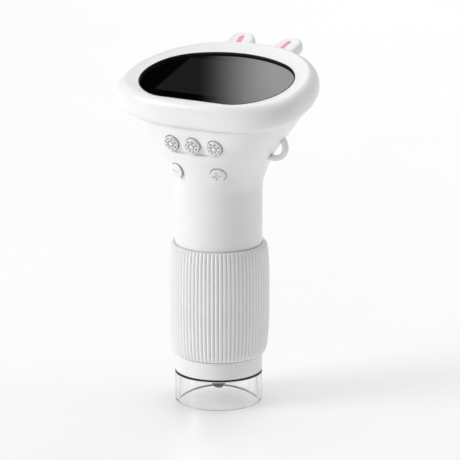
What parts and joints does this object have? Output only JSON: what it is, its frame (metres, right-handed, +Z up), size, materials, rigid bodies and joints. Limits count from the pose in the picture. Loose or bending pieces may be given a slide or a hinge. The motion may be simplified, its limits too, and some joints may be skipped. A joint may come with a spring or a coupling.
{
  "type": "handheld digital microscope",
  "caption": "Handheld digital microscope: tilted display head on a flared grip, keys, ribbed focus sleeve, clear nose cup, lanyard loop and ear tabs.",
  "frame": {"origin": "centre of the clear cup's rim, on the optical axis, where the microscope stands on a specimen", "axes": "+Z up along the optical axis towards the display; -Y towards the key side that faces the user; +X towards the lanyard loop"},
  "size_m": [0.0812, 0.0718, 0.1404],
  "materials": {
    "shell_white": "satin moulded ABS",
    "sleeve_white": "matt soft-touch, ribbed",
    "key_white": "satin, moulded relief",
    "ear_pink": "satin moulded insert",
    "black_rubber": "matt",
    "clear_plastic": "polished clear acrylic",
    "smoked_window": "polished smoked cover with a black surround",
    "display_glass": "switched-off display panel",
    "sheet_steel": "thin pressed sheet",
    "black_plastic": "matt moulded",
    "screw_steel": "zinc plated",
    "circuit_board": "solder mask",
    "chip_black": "moulded epoxy",
    "cell_foil": "satin pouch foil",
    "flex_film": "polyimide film",
    "lamp_white": "lamp body",
    "lens_glass": "coated lens"
  },
  "bodies": {
    "handle": {"body_shell": "shell_white", "bezel": "shell_white", "collar_ring": "shell_white", "ear_left": "shell_white", "ear_right": "shell_white", "lanyard_loop": "shell_white", "ear_inlay_left": "ear_pink", "ear_inlay_right": "ear_pink", "cup_seal": "black_rubber", "window_lens": "smoked_window", "display_panel": "display_glass", "display_backlight": "sheet_steel", "display_carrier": "black_plastic", "carrier_screws": "screw_steel", "board_screws": "screw_steel", "lamp_board_screws": "screw_steel", "main_board": "circuit_board", "key_board": "circuit_board", "port_board": "circuit_board", "port_header": "black_plastic", "lamp_board": "circuit_board", "board_chips": "chip_black", "key_switches": "chip_black", "usb_socket": "sheet_steel", "card_socket": "sheet_steel", "battery_shelf": "black_plastic", "battery": "cell_foil", "battery_pad": "black_rubber", "camera_ribbon": "flex_film", "light_plate": "black_plastic", "lamps": "lamp_white"},
    "sleeve": {"focus_sleeve": "sleeve_white"},
    "carriage": {"lens_carriage": "black_plastic", "focus_pins": "screw_steel", "lens_barrel": "black_plastic", "front_lens": "lens_glass", "relay_lens": "lens_glass", "camera_board": "circuit_board", "image_sensor": "chip_black"},
    "cup": {"clear_cup": "clear_plastic"},
    "key_left": {"button_left": "key_white", "plunger_left": "key_white"},
    "key_centre": {"button_centre": "key_white", "plunger_centre": "key_white"},
    "key_right": {"button_right": "key_white", "plunger_right": "key_white"},
    "key_minus": {"button_minus": "key_white", "plunger_minus": "key_white"},
    "key_plus": {"button_plus": "key_white", "plunger_plus": "key_white"}
  },
  "joints": [
    {"name": "focus_turn", "type": "hinge", "parent": "handle", "child": "sleeve", "pos_m": [0, 0, 0.043], "axis": [0, 0, 1], "range_deg": [-60, 60]},
    {"name": "lens_slide", "type": "slide", "parent": "handle", "child": "carriage", "axis": [0, 0, 1], "range_m": [-0.0025, 0.0025], "deforming": ["camera_ribbon"]},
    {"name": "cup_pull", "type": "slide", "parent": "handle", "child": "cup", "axis": [0, 0, -1], "range_m": [0, 0.02]},
    {"name": "left_press", "type": "slide", "parent": "handle", "child": "key_left", "axis": [0, 0.9511, 0.309], "range_m": [0, 0.0006], "stiffness_N_per_m": 1500},
    {"name": "centre_press", "type": "slide", "parent": "handle", "child": "key_centre", "axis": [0, 0.9511, 0.309], "range_m": [0, 0.0006], "stiffness_N_per_m": 1500},
    {"name": "right_press", "type": "slide", "parent": "handle", "child": "key_right", "axis": [0, 0.9511, 0.309], "range_m": [0, 0.0006], "stiffness_N_per_m": 1500},
    {"name": "minus_press", "type": "slide", "parent": "handle", "child": "key_minus", "axis": [0, 0.9511, 0.309], "range_m": [0, 0.0006], "stiffness_N_per_m": 1500},
    {"name": "plus_press", "type": "slide", "parent": "handle", "child": "key_plus", "axis": [0, 0.9511, 0.309], "range_m": [0, 0.0006], "stiffness_N_per_m": 1500}
  ],
  "couplings": [
    {"joint": "focus_turn", "follows": "lens_slide", "rad_per_m": -418.88}
  ]
}
